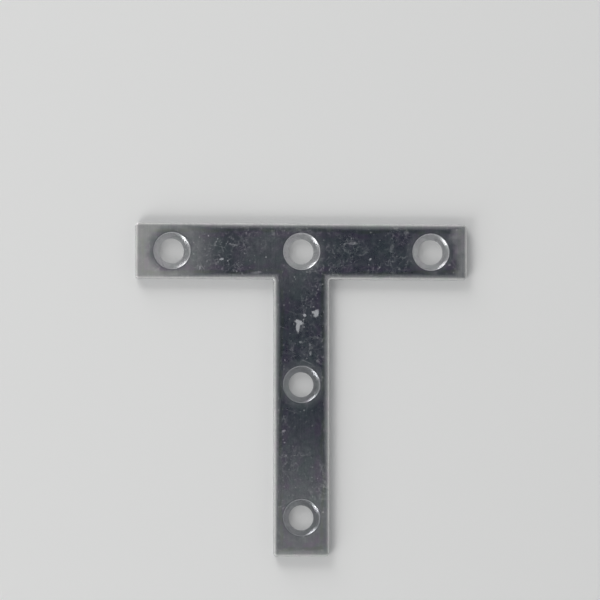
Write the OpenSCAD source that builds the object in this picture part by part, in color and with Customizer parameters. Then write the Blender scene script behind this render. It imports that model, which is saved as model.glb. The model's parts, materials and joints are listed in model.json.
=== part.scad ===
// Flat T plate, blanked from zinc-plated steel sheet as one piece.
// It ties two timbers at a T joint, with countersunk screws through the crossbar and the stem.
// The origin is on the axis of the crossing hole, on the back face that lies against the timber.
// The crossbar runs along X, the stem runs towards -Y, and the countersunk face looks along +Z.

/* [Outline] */
// Length of the crossbar, end to end
bar_length = 76.2; // [60:0.1:150]
// Height of the T, from the top edge of the crossbar to the foot of the stem
plate_height = 76.2; // [60:0.1:150]
// Width of the crossbar
bar_width = 12.7; // [11:0.1:20]
// Width of the stem
stem_width = 12.7; // [11:0.1:20]
// Thickness of the steel sheet
thickness = 1.9; // [1.2:0.1:3.2]
// Radius of the six outer corners, seen from the front
corner_radius = 0.8; // [0.4:0.05:3]
// Radius of the two inner corners, where the stem meets the crossbar
inner_radius = 0.5; // [0.2:0.05:3]

/* [Edges] */
// Width of the rounded edge that blanking rolls on the countersunk face
roll_width = 0.7; // [0.2:0.05:1.2]
// Depth of the rolled edge, below the countersunk face
roll_depth = 0.3; // [0.1:0.05:0.6]
// Width of the broken edge round the back face
back_break = 0.15; // [0.05:0.05:0.4]

/* [Screw holes] */
// Diameter of the straight bore
bore_diameter = 5.7; // [3:0.1:6.5]
// Height of the straight bore under the countersink
bore_land = 0.3; // [0.2:0.05:0.8]
// Included angle of the countersink
countersink_angle = 82; // [80:1:100]
// Radius that rounds the mouth of the countersink
mouth_radius = 0.4; // [0.1:0.05:1]
// Distance from each end of the crossbar to the centre of its end hole
bar_end_margin = 8.3; // [7:0.1:14]
// Distance from the foot of the stem to the centre of its last hole
stem_end_margin = 8.85; // [7:0.1:14]
// Number of holes down the stem, below the crossing hole
stem_hole_count = 2; // [1:1:4]

/* [Hidden] */
$fn = 96;

// Overshoot of a cutter past the face that it cuts
cut_margin = 1;
// Overshoot of an edge cutter past the side, which the arc of every corner leaves room for
side_margin = min(corner_radius, inner_radius) / 2;
// Most that an edge may be rounded or broken, so that it stops short of the centre of a corner's arc
edge_limit = 0.95 * corner_radius;

// Sides of the outline, measured from the crossing hole
bar_end_x = bar_length / 2;
bar_top_y = bar_width / 2;
bar_under_y = -bar_width / 2;
stem_side_x = stem_width / 2;
stem_foot_y = bar_top_y - plate_height;

// Turning points of the outline, anticlockwise from the top left: place, radius, and whether it is outer
outline_corners = [
    [[-bar_end_x, bar_top_y], corner_radius, true],
    [[-bar_end_x, bar_under_y], corner_radius, true],
    [[-stem_side_x, bar_under_y], inner_radius, false],
    [[-stem_side_x, stem_foot_y], corner_radius, true],
    [[stem_side_x, stem_foot_y], corner_radius, true],
    [[stem_side_x, bar_under_y], inner_radius, false],
    [[bar_end_x, bar_under_y], corner_radius, true],
    [[bar_end_x, bar_top_y], corner_radius, true]
];
corner_count = len(outline_corners);
corner_numbers = [0:corner_count - 1];

// The rolled edge is an arc, level with the face where it starts and dropped by its depth at the side
roll_reach = min(roll_width, edge_limit);
roll_drop = min(roll_depth, roll_reach);
roll_radius = (roll_reach * roll_reach + roll_drop * roll_drop) / (2 * roll_drop);

// Width and height of the broken edge at the back
break_reach = min(back_break, edge_limit - side_margin);

// Places of the screw holes: along the crossbar, then down the stem
bar_hole_x = bar_end_x - bar_end_margin;
stem_hole_pitch = (-stem_foot_y - stem_end_margin) / stem_hole_count;
hole_places = concat(
    [for (x = [-bar_hole_x, 0, bar_hole_x]) [x, 0]],
    [for (i = [1:stem_hole_count]) [0, -i * stem_hole_pitch]]
);

// The countersink's cone, up to the edge that it would have if its mouth were sharp
bore_radius = bore_diameter / 2;
flare_angle = countersink_angle / 2;
countersink_radius = bore_radius + (thickness - bore_land) * tan(flare_angle);
// The mouth's rounding starts on the cone and ends on the face, equally far from that edge
mouth_reach = mouth_radius * tan((90 - flare_angle) / 2);
mouth_start = [countersink_radius, thickness] - mouth_reach * [sin(flare_angle), cos(flare_angle)];
mouth_end = [countersink_radius + mouth_reach, thickness];

function place(i) = outline_corners[i % corner_count][0];
function radius(i) = outline_corners[i % corner_count][1];
function is_outer(i) = outline_corners[i % corner_count][2];

// Direction of the side that leaves a corner, and of the side that arrives at it
function leaving(i) = (place(i + 1) - place(i)) / norm(place(i + 1) - place(i));
function arriving(i) = leaving(i + corner_count - 1);
function angle_of(direction) = atan2(direction[1], direction[0]);

// Centre of a corner's arc, and the angle from which it runs a quarter turn anticlockwise
function arc_centre(i) = place(i) + (leaving(i) - arriving(i)) * radius(i);
function arc_start(i) = angle_of(is_outer(i) ? -leaving(i) : arriving(i));

// What lies between the arc of a corner and its point
module corner_gap(i) {
    translate(arc_centre(i))
        rotate(arc_start(i))
            difference() {
                square(radius(i) + side_margin);
                circle(radius(i));
            }
}

module plate_outline() {
    difference() {
        union() {
            polygon([for (i = corner_numbers) place(i)]);
            for (i = corner_numbers)
                if (!is_outer(i)) corner_gap(i);
        }
        for (i = corner_numbers)
            if (is_outer(i)) corner_gap(i);
    }
}

// Runs a profile round the outline. In the profile, +X points out of the plate and +Y is height.
module along_outline() {
    for (i = corner_numbers)
        translate(place(i + 1) - leaving(i) * radius(i + 1))
            rotate([90, 0, angle_of(leaving(i)) - 90])
                linear_extrude(norm(place(i + 1) - place(i)) - radius(i) - radius(i + 1))
                    children();
    for (i = corner_numbers)
        translate(arc_centre(i))
            rotate(arc_start(i))
                rotate_extrude(angle = 90)
                    translate([radius(i), 0])
                        mirror([is_outer(i) ? 0 : 1, 0])
                            children();
}

// Section through what blanking leaves missing at the edge of the countersunk face
module roll_section() {
    difference() {
        translate([-roll_reach, thickness - roll_drop])
            square([roll_reach + side_margin, roll_drop + cut_margin]);
        translate([-roll_reach, thickness - roll_radius]) circle(roll_radius);
    }
}

// Section through what is broken off the edge of the back face
module back_break_section() {
    polygon([
        [-break_reach - side_margin, -side_margin],
        [side_margin, break_reach + side_margin],
        [side_margin, -side_margin]
    ]);
}

// Half section of a screw hole: a straight bore, a countersink above it, and the countersink's rounded mouth
module screw_hole_section() {
    difference() {
        polygon([
            [0, -cut_margin],
            [bore_radius, -cut_margin],
            [bore_radius, bore_land],
            mouth_start,
            mouth_end,
            mouth_end + [0, cut_margin],
            [0, thickness + cut_margin]
        ]);
        translate(mouth_end - [0, mouth_radius]) circle(mouth_radius);
    }
}

module screw_hole() {
    rotate_extrude() screw_hole_section();
}

module t_plate() {
    color([0.55, 0.58, 0.62])
        difference() {
            linear_extrude(thickness) plate_outline();
            along_outline() roll_section();
            along_outline() back_break_section();
            for (place = hole_places)
                translate(place) screw_hole();
        }
}

t_plate();
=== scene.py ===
import json
import math

import bpy
from mathutils import Matrix, Vector


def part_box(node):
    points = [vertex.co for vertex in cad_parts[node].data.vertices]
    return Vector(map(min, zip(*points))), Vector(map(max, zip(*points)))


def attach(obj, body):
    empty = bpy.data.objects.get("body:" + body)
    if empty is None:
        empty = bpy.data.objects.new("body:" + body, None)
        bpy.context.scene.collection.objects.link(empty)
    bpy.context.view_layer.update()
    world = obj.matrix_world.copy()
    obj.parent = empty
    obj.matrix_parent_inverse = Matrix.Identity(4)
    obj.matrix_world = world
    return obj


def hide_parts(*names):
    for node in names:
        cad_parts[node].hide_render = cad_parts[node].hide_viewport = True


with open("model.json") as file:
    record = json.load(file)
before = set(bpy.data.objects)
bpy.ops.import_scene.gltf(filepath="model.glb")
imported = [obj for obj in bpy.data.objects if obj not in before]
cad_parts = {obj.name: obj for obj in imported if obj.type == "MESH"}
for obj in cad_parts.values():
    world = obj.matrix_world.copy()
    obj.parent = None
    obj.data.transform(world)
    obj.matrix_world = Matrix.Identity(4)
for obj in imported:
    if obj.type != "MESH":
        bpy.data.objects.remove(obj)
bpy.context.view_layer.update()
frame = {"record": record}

MM = 0.001

# The photograph's frame: its side, its scale on the plate's face, and the pixel of the crossing hole
IMAGE_SIDE = 600
PIXELS_PER_MM = 4.368
CROSSING_PIXEL = (301.7, 251.2)
# The camera stands a little to the left of the plate and below it
VIEW_FROM_LEFT = math.radians(5.5)
VIEW_FROM_BELOW = math.radians(3.5)
CAMERA_DISTANCE = 1.6
SENSOR_WIDTH = 36

# Sizes of the plate in millimetres, as far as the frame gives them
NODE = "t_plate"
plate_low, plate_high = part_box(NODE)
bores = [mount for mount in frame["record"]["mounts"] if mount["kind"] == "bore"]
hole_places = [Vector(bore["pos_m"]).xy / MM for bore in bores]
bore_radius = bores[0]["dims"]["r_mm"]
bar_end = plate_high.x / MM
bar_half = plate_high.y / MM
stem_foot = -plate_low.y / MM
thickness = plate_high.z / MM

# The sizes that the frame doesn't give
STEM_HALF = 6.35
CORNER_RADIUS = 0.8
INNER_RADIUS = 0.5
ROLL_WIDTH = 0.7
ROLL_DEPTH = 0.3
BACK_BREAK = 0.15
BORE_LAND = 0.3
FLARE_ANGLE = math.radians(41)
MOUTH_ROUND = 0.4
# The shallow dish that pressing the countersinks leaves round them
DISH_RADIUS = 5.55
DISH_DEPTH = 0.04
# Radius of a countersink's mouth, before it is rounded
mouth_radius = bore_radius + (thickness - DISH_DEPTH - BORE_LAND) * math.tan(FLARE_ANGLE)
# What blanking leaves on the edge: a roll that comes and goes, and a torn band
ROLL_CHANGE = 0.07
TORN_DEPTH = 0.07
# Height up to which the edge is torn, and how far that height wanders, as shares of the thickness
TORN_SHARE = 0.38
TORN_WANDER = 0.4
# Distance between points along the edge
EDGE_STEP = 0.35

# Rubbed pale marks on the face, in millimetres and degrees: place, length, width, direction and strength
RUBBED_MARKS = [
    (-0.85, -17.3, 2.7, 0.95, 85, 1.0),
    (-0.55, -16.3, 1.9, 1.15, -20, 1.0),
    (0.67, -14.7, 0.75, 0.65, 0, 0.9),
    (3.40, -14.2, 1.7, 1.25, 70, 1.0),
    (2.75, -14.0, 1.0, 0.7, 10, 0.9),
    (-0.30, -20.8, 0.8, 0.5, 10, 0.30),
    (2.00, -21.4, 0.6, 0.5, 0, 0.25),
    (2.00, -23.5, 1.0, 0.5, 90, 0.35),
    (4.80, -24.2, 0.7, 0.5, 0, 0.22),
    (-4.10, -41.2, 1.1, 0.55, 20, 0.38),
    (-18.4, -1.9, 1.05, 0.55, 15, 0.75),
    (-23.4, -3.9, 1.0, 0.5, 80, 0.30),
    (-15.6, 1.4, 2.4, 0.35, 165, 0.22),
    (-10.3, -4.9, 2.6, 0.6, 5, 0.22),
    (11.8, 1.9, 1.8, 0.7, 0, 0.26),
    (15.8, -1.8, 0.6, 0.45, 30, 0.55),
    (20.8, 1.0, 1.7, 0.9, 75, 0.16),
    (34.1, -2.9, 0.7, 0.5, 0, 0.30),
]
# Centres of the dark halo at the left hole, painted shade where the painted sheen is held back, and of the
# faint haze and painted sheen left of the crossing
LEFT_SHADE_HALO = (-30.3, 0.2)
CROSSING_HAZE_AND_SHEEN = (-5.0, 0.0)


# Node sheets

class Value:
    """A socket's value. Python's operators on it add Math nodes."""

    def __init__(self, sheet, socket):
        self.sheet = sheet
        self.socket = socket

    def math(self, operation, *others):
        return self.sheet.math(operation, self, *others)

    def __add__(self, other):
        return self.math("ADD", other)

    def __radd__(self, other):
        return self.math("ADD", other)

    def __sub__(self, other):
        return self.math("SUBTRACT", other)

    def __rsub__(self, other):
        return self.sheet.math("SUBTRACT", other, self)

    def __mul__(self, other):
        return self.math("MULTIPLY", other)

    def __rmul__(self, other):
        return self.math("MULTIPLY", other)

    def __truediv__(self, other):
        return self.math("DIVIDE", other)

    def __abs__(self):
        return self.math("ABSOLUTE")


class NodeSheet:
    """Builds the nodes of one tree."""

    def __init__(self, node_tree):
        self.tree = node_tree
        self.tree.nodes.clear()

    def put(self, value, socket):
        if isinstance(value, Value):
            self.tree.links.new(value.socket, socket)
        else:
            socket.default_value = value

    def node(self, kind, settings=None, inputs=None, output=0):
        """Adds a node: its settings first, then the values or links of its sockets."""
        made = self.tree.nodes.new(kind)
        for name, setting in (settings or {}).items():
            setattr(made, name, setting)
        for name, value in (inputs or {}).items():
            self.put(value, made.inputs[name])
        if not made.outputs:
            return None
        if isinstance(output, tuple):
            return [Value(self, made.outputs[name]) for name in output]
        return Value(self, made.outputs[output])

    def math(self, operation, *values):
        return self.node("ShaderNodeMath", {"operation": operation}, dict(enumerate(values)))

    def vector(self, operation, *values, output="Vector"):
        inputs = dict(enumerate(values))
        return self.node("ShaderNodeVectorMath", {"operation": operation}, inputs, output)

    def scaled(self, vector, scale):
        inputs = {"Vector": vector, "Scale": scale}
        return self.node("ShaderNodeVectorMath", {"operation": "SCALE"}, inputs)

    def split(self, vector):
        return self.node("ShaderNodeSeparateXYZ", {}, {"Vector": vector}, ("X", "Y", "Z"))

    def join(self, x, y, z):
        return self.node("ShaderNodeCombineXYZ", {}, {"X": x, "Y": y, "Z": z})

    def smooth(self, value, low, high, start=0.0, end=1.0):
        """Eases from start to end as the value goes from low to high."""
        return self.node(
            "ShaderNodeMapRange",
            {"interpolation_type": "SMOOTHSTEP"},
            {"Value": value, "From Min": low, "From Max": high, "To Min": start, "To Max": end},
        )

    def band(self, value, low, full, fade, high):
        """Rises from 0 to 1 between low and full, and falls back between fade and high."""
        return self.smooth(value, low, full) * self.smooth(value, high, fade)

    def blend(self, share, first, second):
        """Goes from the first colour to the second."""
        return self.node("ShaderNodeMix", {"data_type": "RGBA"}, {0: share, 6: first, 7: second}, 2)

    def clouds(self, place, size, detail=3.0, roughness=0.55):
        """Soft noise from 0 to 1, in blotches of about the given size."""
        inputs = {"Vector": place, "Scale": 1 / size, "Detail": detail, "Roughness": roughness}
        return self.node("ShaderNodeTexNoise", {}, inputs)

    def strongest(self, layers):
        """The strongest of several masks at each place."""
        total = layers[0]
        for layer in layers[1:]:
            total = total.math("MAXIMUM", layer)
        return total

    def surface(self, inputs):
        """Ends a material in a shader with these inputs."""
        shader = self.node("ShaderNodeBsdfPrincipled", {}, inputs)
        self.node("ShaderNodeOutputMaterial", {}, {"Surface": shader})


def colour(red, green, blue):
    return (red, green, blue, 1.0)


def new_material(name):
    material = bpy.data.materials.new(name)
    material.use_nodes = True
    return material


def add_object(name, data):
    """Puts a mesh, a lamp or a camera into the scene."""
    made = bpy.data.objects.new(name, data)
    bpy.context.scene.collection.objects.link(made)
    return made


# The plate's form

class PlateTree(NodeSheet):
    """A geometry tree with named sizes. The points of a section are given outwards and upwards."""

    def __init__(self, name):
        super().__init__(bpy.data.node_groups.new(name, "GeometryNodeTree"))
        self.sizes = {}
        self.tree.interface.new_socket("Sketch", in_out="INPUT", socket_type="NodeSocketGeometry")
        self.tree.interface.new_socket("Plate", in_out="OUTPUT", socket_type="NodeSocketGeometry")
        self.sketch = self.node("NodeGroupInput", output="Sketch")

    def size(self, name, millimetres):
        """Adds a named input, which the modifier is given in metres."""
        socket = self.tree.interface.new_socket(name, in_out="INPUT", socket_type="NodeSocketFloat")
        self.sizes[socket.identifier] = millimetres * MM
        return self.node("NodeGroupInput", output=name)

    def straight(self, start, end, steps):
        """A straight stretch of a section."""
        ends = {
            "Start": self.join(start[0], 0 - start[1], 0.0),
            "End": self.join(end[0], 0 - end[1], 0.0),
        }
        stretch = self.node("GeometryNodeCurvePrimitiveLine", {}, ends)
        return self.node("GeometryNodeResampleCurve", {}, {"Curve": stretch, "Count": steps + 1})

    def bend(self, centre, radius, start, end, steps):
        """A round stretch of a section, between two angles that turn from outwards to upwards."""
        arc = self.node(
            "GeometryNodeCurveArc",
            {"mode": "RADIUS"},
            {
                "Resolution": steps + 1,
                "Radius": radius,
                "Start Angle": 0 - start,
                "Sweep Angle": start - end,
            },
        )
        move = self.join(centre[0], 0 - centre[1], 0.0)
        return self.node("GeometryNodeTransform", {}, {"Geometry": arc, "Translation": move})

    def moved(self, geometry, offset):
        return self.node("GeometryNodeSetPosition", {}, {"Geometry": geometry, "Offset": offset})

    def gather(self, *pieces):
        joined = self.node("GeometryNodeJoinGeometry")
        for piece in pieces:
            self.put(piece, joined.socket.node.inputs[0])
        return joined

    def weld(self, mesh):
        return self.node("GeometryNodeMergeByDistance", {}, {"Geometry": mesh, "Distance": 0.001 * MM})

    def sweep(self, path, *stretches):
        """Runs each stretch of a section along a path, and welds the strips to each other."""
        strips = [
            self.node("GeometryNodeCurveToMesh", {}, {"Curve": path, "Profile Curve": stretch})
            for stretch in stretches
        ]
        return self.weld(self.gather(*strips))

    def fill(self, mesh, rims, height):
        """A flat face between open rims of a mesh."""
        outlines = self.node("GeometryNodeMeshToCurve", {}, {"Mesh": mesh, "Selection": rims})
        face = self.node("GeometryNodeFillCurve", {"mode": "TRIANGLES"}, {"Curve": outlines})
        face = self.moved(face, self.join(0.0, 0.0, height))
        return self.node("GeometryNodeSetShadeSmooth", {}, {"Geometry": face, "Shade Smooth": False})

    def divided(self, path, step):
        """The path with points about a step apart on its long stretches."""
        place = self.node("GeometryNodeInputPosition")
        following = self.node("GeometryNodeOffsetPointInCurve", {}, {"Offset": 1}, "Point Index")
        next_place = self.node(
            "GeometryNodeFieldAtIndex",
            {"data_type": "FLOAT_VECTOR"},
            {"Value": place, "Index": following},
        )
        length = self.vector("DISTANCE", place, next_place, output="Value")
        return self.node("GeometryNodeSubdivideCurve", {}, {"Curve": path, "Cuts": length / step})


def worn_edge(tree, edge, outwards, height, roll_foot, back_break):
    """The edge with a roll that comes and goes, and a ragged torn band above the back."""
    torn_depth = tree.size("Torn depth", TORN_DEPTH)
    roll_change = tree.size("Change in roll", ROLL_CHANGE)
    place = tree.node("GeometryNodeInputPosition")
    level = tree.split(place)[2]

    uneven = tree.clouds(place, 7 * MM) - 0.5
    rolled = tree.band(level, height * 0.4, roll_foot, roll_foot, height)
    edge = tree.moved(edge, tree.join(0.0, 0.0, uneven * rolled * roll_change * 2))

    tear = height * (TORN_SHARE + (tree.clouds(place, 2.5 * MM) - 0.5) * TORN_WANDER)
    torn = tree.band(level, back_break, back_break + 0.12 * MM, tear - 0.10 * MM, tear + 0.05 * MM)
    ragged = tree.clouds(place, 0.5 * MM, detail=3.0, roughness=0.6)
    stored = {"Geometry": edge, "Name": "torn", "Value": torn}
    edge = tree.node("GeometryNodeStoreNamedAttribute", {}, stored)
    return tree.moved(edge, tree.scaled(outwards, torn * (0.15 - ragged * 1.3) * torn_depth))


def plate_edge(tree, height):
    """The edge that blanking leaves: rolled over in front, cut, then torn, and broken at the back."""
    roll_width = tree.size("Roll width", ROLL_WIDTH)
    roll_depth = tree.size("Roll depth", ROLL_DEPTH)
    back_break = tree.size("Back break", BACK_BREAK)
    step = tree.size("Step along the edge", EDGE_STEP)

    outline = tree.node("GeometryNodeMeshToCurve", {}, {"Mesh": tree.sketch})
    outline = tree.divided(outline, step)
    outwards = tree.node(
        "GeometryNodeInputNamedAttribute",
        {"data_type": "FLOAT_VECTOR"},
        {"Name": "outwards"},
    )
    turned = {"Curve": outline, "Normal": outwards}
    outline = tree.node("GeometryNodeSetCurveNormal", {"mode": "FREE"}, turned)

    roll_radius = (roll_width * roll_width + roll_depth * roll_depth) / (2 * roll_depth)
    roll_slope = (roll_width / roll_radius).math("ARCSINE")
    roll_centre = (0 - roll_width, height - roll_radius)
    roll_foot = height - roll_depth
    upright = math.pi / 2
    edge = tree.sweep(
        outline,
        tree.bend(roll_centre, roll_radius, upright, upright - roll_slope, steps=12),
        tree.straight((0.0, roll_foot), (0.0, back_break), steps=16),
        tree.straight((0.0, back_break), (0 - back_break, 0.0), steps=2),
    )
    return worn_edge(tree, edge, outwards, height, roll_foot, back_break)


def hole_circles(tree, bore):
    """A circle of the bore's size at each loose point of the sketch, which is a hole's centre."""
    is_loose = 1 - tree.node("GeometryNodeInputMeshVertexNeighbors", output="Vertex Count")
    picked = {"Geometry": tree.sketch, "Selection": is_loose}
    centres = tree.node("GeometryNodeSeparateGeometry", {}, picked)
    round_sizes = {"Resolution": 96, "Radius": bore}
    circle = tree.node("GeometryNodeCurvePrimitiveCircle", {"mode": "RADIUS"}, round_sizes)
    circles = tree.node("GeometryNodeInstanceOnPoints", {}, {"Points": centres, "Instance": circle})
    circles = tree.node("GeometryNodeRealizeInstances", {}, {"Geometry": circles})
    return tree.node("GeometryNodeSetCurveNormal", {"mode": "Z_UP"}, {"Curve": circles})


def plate_holes(tree, height):
    """A bore and a countersink at each hole's place, with a rounded mouth and a shallow dish round it."""
    bore = tree.size("Bore radius", bore_radius)
    land = tree.size("Bore land", BORE_LAND)
    mouth_round = tree.size("Mouth round", MOUTH_ROUND)
    dish_radius = tree.size("Dish radius", DISH_RADIUS)
    dish_depth = tree.size("Dish depth", DISH_DEPTH)

    brim = height - dish_depth
    sharp_mouth = (brim - land) * math.tan(FLARE_ANGLE)
    mouth_reach = mouth_round * math.tan((math.pi / 2 - FLARE_ANGLE) / 2)
    mouth_start = (
        sharp_mouth - mouth_reach * math.sin(FLARE_ANGLE),
        brim - mouth_reach * math.cos(FLARE_ANGLE),
    )
    mouth_end = sharp_mouth + mouth_reach
    mouth_centre = (mouth_end, brim - mouth_round)

    dish_end = dish_radius - bore
    dish = tree.straight((mouth_end, height), (dish_end, height), steps=8)
    outwards = tree.split(tree.node("GeometryNodeInputPosition"))[0]
    inside = (dish_end - outwards) / (dish_end - mouth_end)
    dish = tree.moved(dish, tree.join(0.0, inside * inside * dish_depth, 0.0))
    return tree.sweep(
        hole_circles(tree, bore),
        tree.straight((0.0, 0.0), (0.0, land), steps=2),
        tree.straight((0.0, land), mouth_start, steps=10),
        tree.bend(mouth_centre, mouth_round, math.pi - FLARE_ANGLE, math.pi / 2, steps=8),
        dish,
    )


def blanked_plate_tree(finish):
    """Turns a sketch of the outline and the holes' centres into the plate."""
    tree = PlateTree("blanked_plate")
    height = tree.size("Thickness", thickness)
    plate = tree.gather(plate_edge(tree, height), plate_holes(tree, height))

    open_rim = 2 - tree.node("GeometryNodeInputMeshEdgeNeighbors")
    level = tree.split(tree.node("GeometryNodeInputPosition"))[2]
    at_front = level.math("GREATER_THAN", height * 0.5)
    front = tree.fill(plate, open_rim * at_front, height)
    back = tree.fill(plate, open_rim * (1 - at_front), 0.0)
    back = tree.node("GeometryNodeFlipFaces", {}, {"Mesh": back})
    plate = tree.weld(tree.gather(plate, front, back))

    crease = tree.node("GeometryNodeInputMeshEdgeAngle").math("GREATER_THAN", math.radians(35))
    plate = tree.node(
        "GeometryNodeSetShadeSmooth",
        {"domain": "EDGE"},
        {"Geometry": plate, "Selection": crease, "Shade Smooth": False},
    )
    plate = tree.node("GeometryNodeRealizeInstances", {}, {"Geometry": plate})
    plate = tree.node("GeometryNodeSetMaterial", {}, {"Geometry": plate, "Material": finish})
    tree.node("NodeGroupOutput", {}, {"Plate": plate})
    return tree


def rounded_outline(steps):
    """Points round the outline, anticlockwise from the top left, each with its outward direction."""
    corners = [
        Vector((-bar_end, bar_half)),
        Vector((-bar_end, -bar_half)),
        Vector((-STEM_HALF, -bar_half)),
        Vector((-STEM_HALF, -stem_foot)),
        Vector((STEM_HALF, -stem_foot)),
        Vector((STEM_HALF, -bar_half)),
        Vector((bar_end, -bar_half)),
        Vector((bar_end, bar_half)),
    ]
    points = []
    for i, corner in enumerate(corners):
        arriving = (corner - corners[i - 1]).normalized()
        leaving = (corners[(i + 1) % len(corners)] - corner).normalized()
        is_outer = arriving.cross(leaving) > 0
        radius = CORNER_RADIUS if is_outer else INNER_RADIUS
        centre = corner + (leaving - arriving) * radius
        for step in range(steps + 1):
            turn = math.pi / 2 * step / steps
            from_centre = arriving * math.sin(turn) - leaving * math.cos(turn)
            points.append((centre + from_centre * radius, from_centre if is_outer else -from_centre))
    return points


def plate_sketch(finish):
    """The outline as a ring of edges, with its outward directions, and the holes' centres as loose points."""
    outline = rounded_outline(steps=10)
    count = len(outline)
    places = [place for place, outwards in outline] + hole_places
    mesh = bpy.data.meshes.new("plate_sketch")
    mesh.from_pydata(
        [(place.x * MM, place.y * MM, 0) for place in places],
        [(i, (i + 1) % count) for i in range(count)],
        [],
    )
    mesh.materials.append(finish)
    directions = mesh.attributes.new("outwards", "FLOAT_VECTOR", "POINT")
    for i, (place, outwards) in enumerate(outline):
        directions.data[i].vector = outwards.to_3d()
    return add_object("plate_sketch", mesh)


def make_plate(finish):
    """The plate as one plain mesh, in place of its solid."""
    sketch = plate_sketch(finish)
    tree = blanked_plate_tree(finish)
    modifier = sketch.modifiers.new("blanked_plate", "NODES")
    modifier.node_group = tree.tree
    for identifier, metres in tree.sizes.items():
        modifier[identifier] = metres
    graph = bpy.context.evaluated_depsgraph_get()
    mesh = bpy.data.meshes.new_from_object(sketch.evaluated_get(graph))
    bpy.data.objects.remove(sketch)
    return add_object("zinc_t_plate", mesh)


# The plate's finish

# Colours of the plating's clouds, of its tints and of the films along its edges
DARK_ZINC = colour(0.44, 0.46, 0.49)
PALE_ZINC = colour(0.76, 0.765, 0.775)
VIOLET_TINT = colour(0.67, 0.53, 0.69)
GREEN_TINT = colour(0.48, 0.65, 0.57)
OLIVE_FILM = colour(0.52, 0.56, 0.42)
VIOLET_FILM = colour(0.64, 0.48, 0.66)
# Colours of what lies on the plating or has worn it, and the paler colour of the painted sheen that goes with
# its haze
SCRATCHED_ZINC = colour(0.85, 0.85, 0.86)
SPECK_ZINC = colour(0.82, 0.82, 0.83)
HAZY_SHEEN_ZINC = colour(0.715, 0.715, 0.675)
RUBBED_ZINC = colour(0.50, 0.51, 0.54)
# Colours of the cut edge and of the countersinks, which are painted paler on the crossbar than on the stem:
# painted light that brightens the crossbar's glints and painted shade that dims the stem's, and the painted
# shade at the countersinks' mouths
DIE_MARKED_ZINC = colour(0.74, 0.745, 0.75)
TORN_STEEL = colour(0.40, 0.405, 0.42)
LIT_BAR_CONE = colour(0.78, 0.78, 0.79)
SHADED_STEM_CONE = colour(0.36, 0.37, 0.39)
MOUTH_SHADE = colour(0.36, 0.37, 0.39)


class PlateSurface(NodeSheet):
    """The nodes of a finish on the plate, with its places in millimetres."""

    def __init__(self, node_tree):
        super().__init__(node_tree)
        self.place = self.scaled(self.node("ShaderNodeTexCoord", output="Object"), 1 / MM)
        self.x, self.y, self.z = self.split(self.place)
        self.flat = self.join(self.x, self.y, 0.0)
        self.facing = self.split(self.node("ShaderNodeNewGeometry", output="Normal"))[2]

    def from_point(self, x, y):
        """Distance from an upright axis through a point of the face."""
        return self.vector("DISTANCE", self.flat, (x, y, 0.0), output="Value")

    def from_holes(self):
        """Distance from the axis of the nearest hole."""
        distances = [self.from_point(*place) for place in hole_places]
        nearest = distances[0]
        for distance in distances[1:]:
            nearest = nearest.math("MINIMUM", distance)
        return nearest

    def from_outline(self):
        """Depth inside the outline: the deeper of the depths inside the crossbar and inside the stem."""
        beside = abs(self.x)
        inside_bar = (bar_end - beside).math("MINIMUM", bar_half - abs(self.y))
        along_stem = (self.y + stem_foot).math("MINIMUM", bar_half - self.y)
        inside_stem = (STEM_HALF - beside).math("MINIMUM", along_stem)
        return inside_bar.math("MAXIMUM", inside_stem)

    def laid(self, place, degrees, scale):
        """The face's places, seen from a place on it, along a direction and to a scale of its own."""
        return self.node(
            "ShaderNodeMapping",
            {"vector_type": "TEXTURE"},
            {
                "Vector": self.flat,
                "Location": (*place, 0.0),
                "Rotation": (0.0, 0.0, math.radians(degrees)),
                "Scale": (*scale, 1.0),
            },
        )

    def scattered(self, cells):
        """One point in each cell of a grid: the distance from it, and a strength of its own."""
        distance, tint = self.node(
            "ShaderNodeTexVoronoi",
            {"voronoi_dimensions": "2D"},
            {"Vector": cells, "Scale": 1.0},
            ("Distance", "Color"),
        )
        return distance, self.split(tint)[0]

    def hairlines(self, degrees, length, width, spacing, shift):
        """Fine straight scratches of one direction, each with a strength of its own."""
        reach = width / spacing
        cells = self.laid((shift, shift), degrees, (length / reach, spacing))
        distance, strength = self.scattered(cells)
        return self.smooth(distance, 0.5 * reach, 0.15 * reach) * strength * strength

    def bright_specks(self, size, spacing, shift):
        """Small bright specks, most of them faint."""
        reach = size / spacing
        cells = self.laid((shift, shift), 0, (spacing, spacing))
        distance, strength = self.scattered(cells)
        return self.smooth(distance, 0.5 * reach, 0.2 * reach) * strength.math("POWER", 4.0)

    def wavy_lines(self, size, width):
        """Thin wandering lines, as handling leaves."""
        waves = self.clouds(self.flat, size, detail=2.0)
        return self.smooth(abs(waves - 0.5), width, 0.0)

    def rubbed_mark(self, x, y, length, width, degrees, strength, ragged):
        """A rubbed patch on the face, with a ragged rim."""
        from_middle = self.laid((x, y), degrees, (length / 2, width / 2))
        out = self.vector("LENGTH", from_middle, output="Value")
        return self.smooth(out + ragged, 1.2, 0.6, end=strength)


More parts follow.
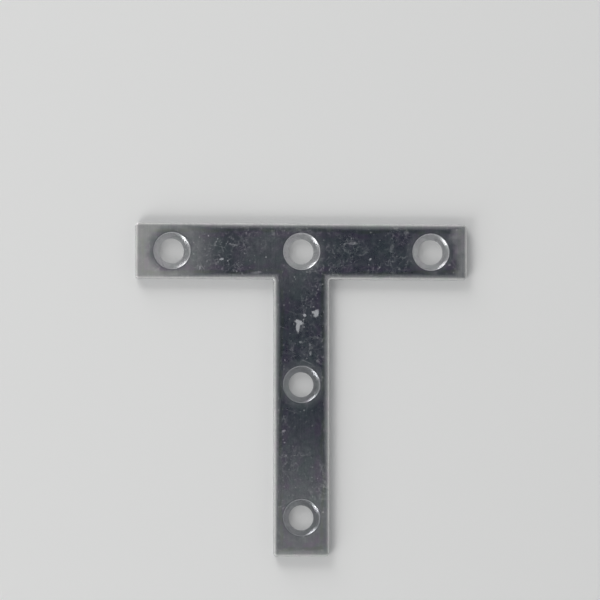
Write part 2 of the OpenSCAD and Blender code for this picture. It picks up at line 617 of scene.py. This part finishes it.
class ZincPlating(PlateSurface):
    """Bright zinc on rolled sheet: cloudy, scratched and rubbed, and hazy towards its edges and ends, where a
    painted sheen makes it paler.
    """

    def __init__(self, node_tree):
        super().__init__(node_tree)
        self.find_regions()
        self.lay_clouds()
        self.lay_marks()
        self.lay_haze_and_sheen()

    def find_regions(self):
        """Masks of the plate's front, walls, countersinks, the painted shade on their rims, torn band and
        broken back edge.
        """
        self.from_hole = self.from_holes()
        self.depth = self.from_outline()
        self.front = self.smooth(self.facing, 0.3, 0.6)
        self.wall = self.smooth(abs(self.facing), 0.55, 0.25)
        not_back = self.smooth(self.facing, -0.9, -0.5)
        self.countersink = self.smooth(self.from_hole, mouth_radius + 0.2, mouth_radius) * not_back
        # Painted shade: a darker ring at each countersink's rounded mouth
        rim = (mouth_radius - 0.3, mouth_radius - 0.05, mouth_radius + 0.2, mouth_radius + 0.4)
        self.mouth_rim_shade = self.band(self.from_hole, *rim) * not_back
        self.face = (1 - self.countersink) * (1 - self.wall)
        self.torn = self.node("ShaderNodeAttribute", {"attribute_name": "torn"}, {}, "Fac") * self.wall
        self.burr = self.smooth(self.z, 0.24, 0.14) * self.smooth(self.facing, -0.98, -0.85)

    def lay_clouds(self):
        """The plating's clouds and tints, the sheet's grain, and the marks of the die and the countersink."""
        beside = self.vector("ADD", self.place, (40.0, 0.0, 0.0))
        above = self.vector("ADD", self.place, (0.0, 40.0, 0.0))
        along_grain = self.join(self.x / 0.3, self.y / 9.0, self.z / 0.3)
        up_wall = self.join(self.x / 0.14, self.y / 0.14, self.z / 3.0)
        self.broad = self.clouds(self.place, 7.0)
        self.blotch = self.clouds(self.place, 2.2, detail=5.0, roughness=0.68)
        self.sparkle = self.clouds(self.place, 0.7, detail=3.0, roughness=0.7)
        self.violet = self.clouds(beside, 3.0)
        self.green = self.clouds(above, 3.0)
        self.grain = self.clouds(along_grain, 1.0, detail=3.0, roughness=0.6)
        self.die_lines = self.clouds(up_wall, 1.0, detail=2.0)
        self.tool_rings = (self.from_hole * (math.tau / 0.16)).math("SINE") * self.countersink

    def lay_marks(self):
        """Scratches, specks and rubbed patches."""
        hairlines = self.strongest([
            self.hairlines(-58, 3.5, 0.12, 1.0, 11.0),
            self.hairlines(-20, 5.0, 0.10, 1.3, 23.0),
            self.hairlines(14, 3.0, 0.10, 1.2, 37.0),
            self.hairlines(82, 8.0, 0.12, 0.9, 41.0),
        ])
        handled = self.smooth(self.broad, 0.44, 0.60, end=0.6)
        swirls = self.strongest([self.wavy_lines(2.1, 0.014), self.wavy_lines(3.6, 0.010)])
        self.scratches = self.face * self.strongest([hairlines, swirls * handled])

        specks = self.strongest([self.bright_specks(0.42, 2.2, 5.0), self.bright_specks(0.3, 1.3, 9.0)])
        self.specks = self.face * specks

        ragged = (self.clouds(self.place, 0.55, detail=3.0, roughness=0.7) - 0.5) * 1.5
        patches = [self.rubbed_mark(*mark, ragged) for mark in RUBBED_MARKS]
        self.rubbed = self.front * self.strongest(patches)

    def lay_haze_and_sheen(self):
        """Haze with a painted sheen along the edges, at the ends and down the stem, and faintly round the
        holes: rougher plating, painted paler and less metallic where it stands in for a lighter reflection.
        """
        uneven = (self.broad - 0.5) * 6 + (self.blotch - 0.5) * 4
        along_bar = self.x + uneven
        along_stem = self.y + uneven
        from_hole = self.from_hole + uneven * 0.12
        from_shade_halo = self.from_point(*LEFT_SHADE_HALO) + uneven * 0.15
        from_crossing = self.from_point(*CROSSING_HAZE_AND_SHEEN) + uneven
        # Painted shade: next to the left hole the painted sheen is held back, which leaves a dark halo.
        clear_of_left_hole = self.smooth(from_shade_halo, 4.1, 6.2, start=0.5)
        clear_of_holes = self.smooth(from_hole, 4.5, 5.9, start=0.5)
        # Each layer is rougher plating with a painted sheen: paler and less metallic where the face would
        # reflect more light.
        layers = [
            self.smooth(self.depth + uneven * 0.1, 1.6, 0.3, end=0.75),
            self.smooth(along_bar, -14.0, -36.0) * clear_of_left_hole,
            self.smooth(along_bar, 31.5, 37.5, end=0.6) * clear_of_holes,
            self.smooth(from_crossing, 15.0, 4.0, end=0.17),
            self.smooth(along_stem, -33.0, -68.0, end=0.49),
            self.smooth(from_hole, 6.4, 4.4, end=0.17),
            self.smooth(self.y + uneven * 0.15, -66.4, -69.6, end=0.85),
        ]
        self.haze_and_sheen = self.front * (1 - self.countersink) * self.strongest(layers)

    def clouded_colour(self):
        """The plating's own colour: grey clouds with faint tints, and coloured films along the edges."""
        shade = self.blotch * 0.55 + self.sparkle * 0.2 + self.grain * 0.3 + self.broad * 0.2 - 0.125
        base = self.blend(self.smooth(shade, 0.30, 0.70), DARK_ZINC, PALE_ZINC)
        tint = 1 - self.wall * 0.7
        base = self.blend(self.smooth(self.violet, 0.46, 0.68, end=0.38) * tint, base, VIOLET_TINT)
        base = self.blend(self.smooth(self.green, 0.46, 0.68, end=0.33) * tint, base, GREEN_TINT)

        film = self.depth + (self.broad - 0.5) * 2.5
        olive = self.band(film, 0.9, 1.5, 1.7, 2.2) * self.face
        olive = olive * self.smooth(self.green, 0.40, 0.60, start=0.1, end=0.5)
        violet = self.band(film, 1.7, 2.4, 2.8, 3.6) * self.face
        violet = violet * self.smooth(self.violet, 0.40, 0.60, start=0.1, end=0.5)
        base = self.blend(olive, base, OLIVE_FILM)
        return self.blend(violet, base, VIOLET_FILM)

    def base_colour(self):
        """The clouded plating, then what marks it, one over the other."""
        die_marked = self.wall * self.smooth(self.die_lines, 0.45, 0.7, end=0.5)
        rough_edge = self.strongest([self.torn, self.burr])
        # Painted light and shade: the countersinks are paler on the crossbar and darker down the stem
        cone_light_and_shade = self.blend(self.smooth(self.y, -12.0, -28.0), LIT_BAR_CONE, SHADED_STEM_CONE)
        layers = [
            (self.scratches * 0.6, SCRATCHED_ZINC),
            (self.specks * 0.7, SPECK_ZINC),
            # Painted sheen: the haze paints the face paler towards its edges and ends
            (self.haze_and_sheen * 0.6, HAZY_SHEEN_ZINC),
            (self.rubbed, RUBBED_ZINC),
            (die_marked, DIE_MARKED_ZINC),
            (rough_edge * 0.7, TORN_STEEL),
            (self.countersink * 0.6, cone_light_and_shade),
            # Painted shade on the countersinks' mouths
            (self.mouth_rim_shade * 0.45, MOUTH_SHADE),
        ]
        base = self.clouded_colour()
        for share, layer_colour in layers:
            base = self.blend(share, base, layer_colour)
        return base

    def roughness(self):
        clouded = 0.22 + self.blotch * 0.06 + self.sparkle * 0.06 + self.haze_and_sheen * 0.25
        marked = self.scratches * 0.2 + self.specks * 0.15 + self.rubbed * 0.3
        return clouded + marked + self.countersink * 0.04 + self.torn * 0.25 + self.burr * 0.3

    def metallic(self):
        return 1 - self.rubbed * 0.75 - self.specks * 0.3 - self.scratches * 0.15 - self.haze_and_sheen * 0.25

    def relief(self):
        """Height of the surface's fine relief, in millimetres."""
        clouded = self.blotch * 0.012 + self.sparkle * 0.004 + self.grain * 0.003
        marked = self.rubbed * 0.002 - self.scratches * 0.003
        cut = self.die_lines * self.wall * 0.006 + self.sparkle * self.torn * 0.03
        return clouded + marked + cut + self.tool_rings * 0.0004


def zinc_plating():
    material = new_material("zinc_plating")
    zinc = ZincPlating(material.node_tree)
    relief = {"Strength": 1.0, "Distance": MM, "Height": zinc.relief()}
    zinc.surface({
        "Base Color": zinc.base_colour(),
        "Metallic": zinc.metallic(),
        "Roughness": zinc.roughness(),
        "Normal": zinc.node("ShaderNodeBump", {}, relief),
    })
    return material


# The stage

FLOOR_SIDE = 8.0
# The dark ceiling: its tilt from overhead, mostly to the right and by a share of that to the top,
# and the cosines of the angles from its middle at which it starts and is full
CEILING_TILT = math.radians(9)
CEILING_TOP_SHARE = 0.35
CEILING_RIM = 0.58
CEILING_FULL = 0.95
SOFTBOX_DISTANCE = 1.2


def pale_floor():
    material = new_material("pale_floor")
    NodeSheet(material.node_tree).surface({"Base Color": colour(0.90, 0.90, 0.89), "Roughness": 0.9})
    return material


def make_floor():
    half = FLOOR_SIDE / 2
    corners = [(-half, -half), (half, -half), (half, half), (-half, half)]
    mesh = bpy.data.meshes.new("floor")
    mesh.from_pydata([(x, y, plate_low.z) for x, y in corners], [], [(0, 1, 2, 3)])
    mesh.materials.append(pale_floor())
    floor = add_object("floor", mesh)


def make_surround():
    """A pale room with a dark ceiling, which the flat face of the plate reflects."""
    world = bpy.data.worlds.new("surround")
    world.use_nodes = True
    sheet = NodeSheet(world.node_tree)
    direction = sheet.node("ShaderNodeTexCoord", output="Generated")
    aside = math.sin(CEILING_TILT)
    ceiling = (aside, CEILING_TOP_SHARE * aside, math.cos(CEILING_TILT))
    closeness = sheet.vector("DOT_PRODUCT", direction, ceiling, output="Value")
    dark = sheet.smooth(closeness, CEILING_RIM, CEILING_FULL)
    shade = sheet.blend(dark, colour(0.69, 0.69, 0.685), colour(0.023, 0.030, 0.045))
    background = sheet.node("ShaderNodeBackground", {}, {"Color": shade})
    sheet.node("ShaderNodeOutputWorld", {}, {"Surface": background})
    bpy.context.scene.world = world


def add_softbox(name, azimuth, elevation, size, power, is_mirrored):
    """A soft light that faces the crossing hole. The metal mirrors it, or it lights what is matt."""
    lamp = bpy.data.lights.new(name, "AREA")
    lamp.shape = "RECTANGLE"
    lamp.size, lamp.size_y = size
    lamp.energy = power
    turn = math.radians(azimuth)
    tilt = math.radians(elevation)
    level = math.cos(tilt)
    towards = Vector((math.cos(turn) * level, math.sin(turn) * level, math.sin(tilt)))
    light = add_object(name, lamp)
    light.location = towards * SOFTBOX_DISTANCE
    light.rotation_mode = "QUATERNION"
    light.rotation_quaternion = towards.to_track_quat("Z", "Y")
    light.visible_camera = False
    light.visible_glossy = is_mirrored
    light.visible_diffuse = not is_mirrored


def make_camera():
    """Looks down at the plate, which then lies where the photograph has it."""
    middle = IMAGE_SIDE / 2
    target = Vector((
        (middle - CROSSING_PIXEL[0]) / PIXELS_PER_MM * MM,
        (CROSSING_PIXEL[1] - middle) / PIXELS_PER_MM * MM,
        plate_high.z,
    ))
    towards = Vector((-math.tan(VIEW_FROM_LEFT), -math.tan(VIEW_FROM_BELOW), 1)).normalized()
    right = Vector((0, 1, 0)).cross(towards).normalized()
    up = towards.cross(right)
    seen_width = IMAGE_SIDE / PIXELS_PER_MM * MM
    lens = bpy.data.cameras.new("camera")
    lens.sensor_width = SENSOR_WIDTH
    lens.lens = SENSOR_WIDTH * CAMERA_DISTANCE / seen_width
    camera = add_object("camera", lens)
    camera.location = target + towards * CAMERA_DISTANCE
    camera.rotation_mode = "QUATERNION"
    camera.rotation_quaternion = Matrix((right, up, towards)).transposed().to_quaternion()
    bpy.context.scene.camera = camera


plate = make_plate(zinc_plating())
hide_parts(NODE)
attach(plate, "root")

make_floor()
make_surround()
add_softbox("upper_left_softbox", 116, 20, (0.68, 0.68), 7.6, is_mirrored=False)
add_softbox("lower_left_softbox", 226, 20, (0.68, 0.68), 6.8, is_mirrored=False)
add_softbox("upper_left_strip", 122, 3, (0.60, 0.12), 3.4, is_mirrored=True)
add_softbox("lower_left_strip", 219, 3, (0.60, 0.12), 2.7, is_mirrored=True)
make_camera()

bpy.context.scene.view_settings.view_transform = "Standard"
